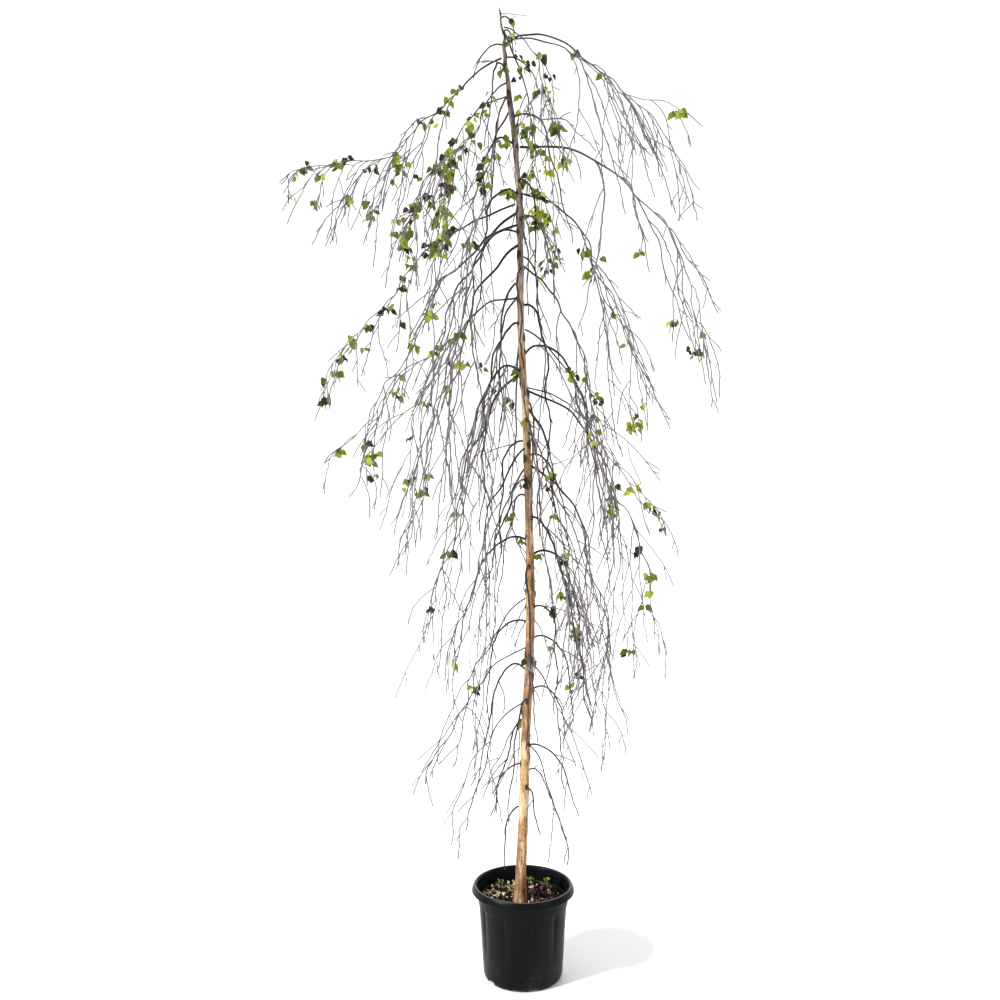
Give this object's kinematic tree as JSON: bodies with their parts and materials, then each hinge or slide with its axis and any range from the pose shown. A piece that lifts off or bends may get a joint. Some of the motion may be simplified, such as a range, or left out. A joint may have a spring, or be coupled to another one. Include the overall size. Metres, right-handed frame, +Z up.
{
  "type": "potted weeping birch tree",
  "caption": "Young weeping birch in a plastic nursery pot: one leaning trunk, arching boughs and hanging sprays of bare twigs with a few small leaves.",
  "frame": {"origin": "centre of the pot's flat underside", "axes": "+Z up, out of the underside and along the trunk; -Y towards the tree's best side, from which +X is to the right"},
  "size_m": [1.6552, 0.8833, 3.592],
  "materials": {
    "pot": "black injection-moulded plastic, dusty and lightly scuffed",
    "soil": "moist dark potting bark with paler chips",
    "bark": "tan to grey-brown young bark with peeling strips and dark branch scars",
    "bough": "smooth dark purple-brown bark with pale breathing pores",
    "twigs": "mass of fine grey-brown hanging twigs with sparse leaves",
    "leaf": "small toothed leaves, yellow-green to dark green, some dried brown"
  },
  "bodies": {
    "root": {"bough_01": "bough", "bough_02": "bough", "bough_03": "bough", "bough_04": "bough", "bough_05": "bough", "bough_06": "bough", "bough_07": "bough", "bough_08": "bough", "bough_09": "bough", "bough_10": "bough", "bough_11": "bough", "bough_12": "bough", "bough_13": "bough", "bough_14": "bough", "bough_15": "bough", "bough_16": "bough", "bough_17": "bough", "bough_18": "bough", "bough_19": "bough", "bough_20": "bough", "bough_21": "bough", "bough_22": "bough", "bough_23": "bough", "bough_24": "bough", "bough_25": "bough", "bough_26": "bough", "bough_27": "bough", "bough_28": "bough", "bough_29": "bough", "bough_30": "bough", "bough_31": "bough", "mass_01": "twigs", "mass_02": "twigs", "mass_03": "twigs", "mass_04": "twigs", "mass_05": "twigs", "mass_06": "twigs", "mass_07": "twigs", "mass_08": "twigs", "mass_09": "twigs", "mass_10": "twigs", "mass_11": "twigs", "mass_12": "twigs", "mass_13": "twigs", "mass_14": "twigs", "mass_15": "twigs", "mass_16": "twigs", "mass_17": "twigs", "mass_18": "twigs", "mass_19": "twigs", "mass_20": "twigs", "mass_21": "twigs", "mass_22": "twigs", "mass_23": "twigs", "mass_24": "twigs", "mass_25": "twigs", "mass_26": "twigs", "pot": "pot", "soil": "soil", "trunk": "bark"}
  },
  "joints": []
}
